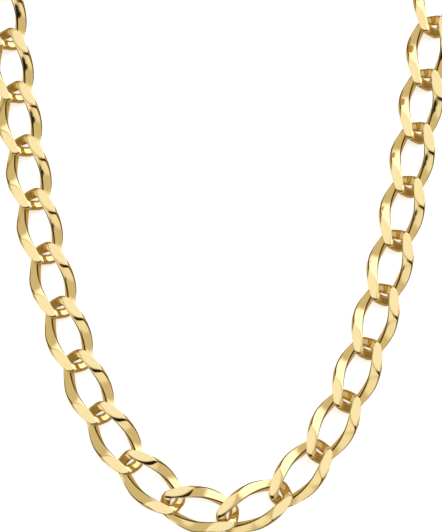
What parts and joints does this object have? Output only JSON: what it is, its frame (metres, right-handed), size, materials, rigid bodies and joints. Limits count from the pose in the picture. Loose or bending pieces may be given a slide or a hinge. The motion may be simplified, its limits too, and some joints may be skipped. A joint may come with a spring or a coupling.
{
  "type": "chain necklace",
  "caption": "Open curb chain of large squared, twisted and ground links, with a lobster clasp undone at the back.",
  "frame": {"origin": "middle of the necklace's outline, on the surface that the ground back faces of the links rest on", "axes": "+X to the wearer's left as seen from the front, +Y from the front centre towards the clasp at the back of the neck, +Z out of the links' front faces"},
  "size_m": [0.1144, 0.1999, 0.0042],
  "materials": {
    "gold_links": "polished yellow gold plate",
    "gold_clasp": "polished yellow gold plate",
    "rivet": "polished rivet",
    "spring": "bright spring steel"
  },
  "bodies": {
    "link_01": {"link_01": "gold_links"},
    "link_02": {"link_02": "gold_links"},
    "link_03": {"link_03": "gold_links"},
    "link_04": {"link_04": "gold_links"},
    "link_05": {"link_05": "gold_links"},
    "link_06": {"link_06": "gold_links"},
    "link_07": {"link_07": "gold_links"},
    "link_08": {"link_08": "gold_links"},
    "link_09": {"link_09": "gold_links"},
    "link_10": {"link_10": "gold_links"},
    "link_11": {"link_11": "gold_links"},
    "link_12": {"link_12": "gold_links"},
    "link_13": {"link_13": "gold_links"},
    "link_14": {"link_14": "gold_links"},
    "link_15": {"link_15": "gold_links"},
    "link_16": {"link_16": "gold_links"},
    "link_17": {"link_17": "gold_links"},
    "link_18": {"link_18": "gold_links"},
    "link_19": {"link_19": "gold_links"},
    "link_20": {"link_20": "gold_links"},
    "link_21": {"link_21": "gold_links"},
    "link_22": {"link_22": "gold_links"},
    "link_23": {"link_23": "gold_links"},
    "link_24": {"link_24": "gold_links"},
    "link_25": {"link_25": "gold_links"},
    "link_26": {"link_26": "gold_links"},
    "link_27": {"link_27": "gold_links"},
    "link_28": {"link_28": "gold_links"},
    "link_29": {"link_29": "gold_links"},
    "link_30": {"link_30": "gold_links"},
    "link_31": {"link_31": "gold_links"},
    "link_32": {"link_32": "gold_links"},
    "link_33": {"link_33": "gold_links"},
    "link_34": {"link_34": "gold_links"},
    "jump_ring": {"jump_ring": "gold_clasp"},
    "clasp": {"clasp_body": "gold_clasp", "clasp_rivet": "rivet", "lever_spring": "spring"},
    "lever": {"clasp_lever": "gold_clasp"},
    "end_ring": {"end_ring": "gold_clasp"}
  },
  "joints": [
    {"name": "lever_pivot", "type": "hinge", "parent": "clasp", "child": "lever", "pos_m": [-0.00651, 0.093, 0.0021], "axis": [0, 0, 1], "range_deg": [0, 22], "stiffness_Nm_per_rad": 0.01, "springref_deg": -11.46},
    {"name": "clasp_swing", "type": "hinge", "parent": "jump_ring", "child": "clasp", "pos_m": [-0.01296, 0.09282, 0.0021], "axis": [-0.3215, 0.5869, 0.7431], "range_deg": [-20, 20]},
    {"name": "jump_ring_swing", "type": "hinge", "parent": "link_01", "child": "jump_ring", "pos_m": [-0.01556, 0.0914, 0.0021], "axis": [0.3397, -0.6202, 0.7071], "range_deg": [-25, 25]},
    {"name": "end_ring_swing", "type": "hinge", "parent": "link_34", "child": "end_ring", "pos_m": [0.0106, 0.09118, 0.0021], "axis": [-0.2821, -0.6484, -0.7071], "range_deg": [-25, 25]},
    {"name": "link_18_swing", "type": "hinge", "parent": "link_17", "child": "link_18", "pos_m": [0.00109, -0.0973, 0.0021], "axis": [0.304, -0.6384, -0.7071], "range_deg": [-35, 35]},
    {"name": "link_16_swing", "type": "hinge", "parent": "link_17", "child": "link_16", "pos_m": [-0.00929, -0.09376, 0.0021], "axis": [-0.4684, -0.5297, 0.7071], "range_deg": [-35, 35]},
    {"name": "link_19_swing", "type": "hinge", "parent": "link_18", "child": "link_19", "pos_m": [0.01347, -0.09256, 0.0021], "axis": [0.5349, -0.4625, -0.7071], "range_deg": [-35, 35]},
    {"name": "link_15_swing", "type": "hinge", "parent": "link_16", "child": "link_15", "pos_m": [-0.0192, -0.08531, 0.0021], "axis": [-0.5958, -0.3808, 0.7071], "range_deg": [-35, 35]},
    {"name": "link_20_swing", "type": "hinge", "parent": "link_19", "child": "link_20", "pos_m": [0.02374, -0.08068, 0.0021], "axis": [-0.5349, 0.4625, -0.7071], "range_deg": [-35, 35]},
    {"name": "link_14_swing", "type": "hinge", "parent": "link_15", "child": "link_14", "pos_m": [-0.02766, -0.07208, 0.0021], "axis": [0.5958, 0.3808, 0.7071], "range_deg": [-35, 35]},
    {"name": "link_21_swing", "type": "hinge", "parent": "link_20", "child": "link_21", "pos_m": [0.0287, -0.07163, 0.0021], "axis": [-0.6571, 0.2611, 0.7071], "range_deg": [-35, 35]},
    {"name": "link_13_swing", "type": "hinge", "parent": "link_14", "child": "link_13", "pos_m": [-0.03177, -0.06261, 0.0021], "axis": [0.6691, 0.2287, -0.7071], "range_deg": [-35, 35]},
    {"name": "link_22_swing", "type": "hinge", "parent": "link_21", "child": "link_22", "pos_m": [0.0345, -0.05704, 0.0021], "axis": [0.6571, -0.2611, 0.7071], "range_deg": [-35, 35]},
    {"name": "link_12_swing", "type": "hinge", "parent": "link_13", "child": "link_12", "pos_m": [-0.03685, -0.04775, 0.0021], "axis": [-0.6691, -0.2287, -0.7071], "range_deg": [-35, 35]},
    {"name": "link_23_swing", "type": "hinge", "parent": "link_22", "child": "link_23", "pos_m": [0.03754, -0.04719, 0.0021], "axis": [0.6847, -0.1766, -0.7071], "range_deg": [-35, 35]},
    {"name": "link_11_swing", "type": "hinge", "parent": "link_12", "child": "link_11", "pos_m": [-0.03958, -0.03782, 0.0021], "axis": [-0.6886, -0.1607, 0.7071], "range_deg": [-35, 35]},
    {"name": "link_24_swing", "type": "hinge", "parent": "link_23", "child": "link_24", "pos_m": [0.04147, -0.03199, 0.0021], "axis": [-0.6847, 0.1766, -0.7071], "range_deg": [-35, 35]},
    {"name": "link_10_swing", "type": "hinge", "parent": "link_11", "child": "link_10", "pos_m": [-0.04315, -0.02253, 0.0021], "axis": [0.6886, 0.1607, 0.7071], "range_deg": [-35, 35]},
    {"name": "link_25_swing", "type": "hinge", "parent": "link_24", "child": "link_25", "pos_m": [0.04366, -0.02192, 0.0021], "axis": [-0.6946, 0.1326, 0.7071], "range_deg": [-35, 35]},
    {"name": "link_09_swing", "type": "hinge", "parent": "link_10", "child": "link_09", "pos_m": [-0.04517, -0.01243, 0.0021], "axis": [0.6963, 0.1233, -0.7071], "range_deg": [-35, 35]},
    {"name": "link_26_swing", "type": "hinge", "parent": "link_25", "child": "link_26", "pos_m": [0.04661, -0.0065, 0.0021], "axis": [0.6946, -0.1326, 0.7071], "range_deg": [-35, 35]},
    {"name": "link_08_swing", "type": "hinge", "parent": "link_09", "child": "link_08", "pos_m": [-0.04791, 0.00303, 0.0021], "axis": [-0.6963, -0.1233, -0.7071], "range_deg": [-35, 35]},
    {"name": "link_27_swing", "type": "hinge", "parent": "link_26", "child": "link_27", "pos_m": [0.04832, 0.00366, 0.0021], "axis": [0.6991, -0.1059, -0.7071], "range_deg": [-35, 35]},
    {"name": "link_07_swing", "type": "hinge", "parent": "link_08", "child": "link_07", "pos_m": [-0.04952, 0.01321, 0.0021], "axis": [-0.7, -0.0999, 0.7071], "range_deg": [-35, 35]},
    {"name": "link_28_swing", "type": "hinge", "parent": "link_27", "child": "link_28", "pos_m": [0.05067, 0.01918, 0.0021], "axis": [-0.6991, 0.1059, -0.7071], "range_deg": [-35, 35]},
    {"name": "link_06_swing", "type": "hinge", "parent": "link_07", "child": "link_06", "pos_m": [-0.05173, 0.02875, 0.0021], "axis": [0.7, 0.0999, 0.7071], "range_deg": [-35, 35]},
    {"name": "link_29_swing", "type": "hinge", "parent": "link_28", "child": "link_29", "pos_m": [0.05227, 0.02937, 0.0021], "axis": [-0.7069, -0.0184, 0.7071], "range_deg": [-35, 35]},
    {"name": "link_05_swing", "type": "hinge", "parent": "link_06", "child": "link_05", "pos_m": [-0.0526, 0.03905, 0.0021], "axis": [0.6978, -0.1141, -0.7071], "range_deg": [-35, 35]},
    {"name": "link_30_swing", "type": "hinge", "parent": "link_29", "child": "link_30", "pos_m": [0.05186, 0.04507, 0.0021], "axis": [0.7069, 0.0184, 0.7071], "range_deg": [-35, 35]},
    {"name": "link_04_swing", "type": "hinge", "parent": "link_05", "child": "link_04", "pos_m": [-0.05007, 0.05455, 0.0021], "axis": [-0.6978, 0.1141, -0.7071], "range_deg": [-35, 35]},
    {"name": "link_31_swing", "type": "hinge", "parent": "link_30", "child": "link_31", "pos_m": [0.04927, 0.05511, 0.0021], "axis": [0.6273, 0.3264, -0.7071], "range_deg": [-35, 35]},
    {"name": "link_03_swing", "type": "hinge", "parent": "link_04", "child": "link_03", "pos_m": [-0.04614, 0.06414, 0.0021], "axis": [-0.5772, 0.4085, 0.7071], "range_deg": [-35, 35]},
    {"name": "link_32_swing", "type": "hinge", "parent": "link_31", "child": "link_32", "pos_m": [0.04202, 0.06904, 0.0021], "axis": [-0.6273, -0.3264, -0.7071], "range_deg": [-35, 35]},
    {"name": "link_02_swing", "type": "hinge", "parent": "link_03", "child": "link_02", "pos_m": [-0.03707, 0.07696, 0.0021], "axis": [0.5772, -0.4085, 0.7071], "range_deg": [-35, 35]},
    {"name": "link_33_swing", "type": "hinge", "parent": "link_32", "child": "link_33", "pos_m": [0.03529, 0.07692, 0.0021], "axis": [-0.4207, -0.5683, 0.7071], "range_deg": [-35, 35]},
    {"name": "link_01_swing", "type": "hinge", "parent": "link_02", "child": "link_01", "pos_m": [-0.02933, 0.08386, 0.0021], "axis": [0.3397, -0.6202, -0.7071], "range_deg": [-35, 35]},
    {"name": "link_34_swing", "type": "hinge", "parent": "link_33", "child": "link_34", "pos_m": [0.02267, 0.08626, 0.0021], "axis": [0.4207, 0.5683, 0.7071], "range_deg": [-35, 35]}
  ]
}
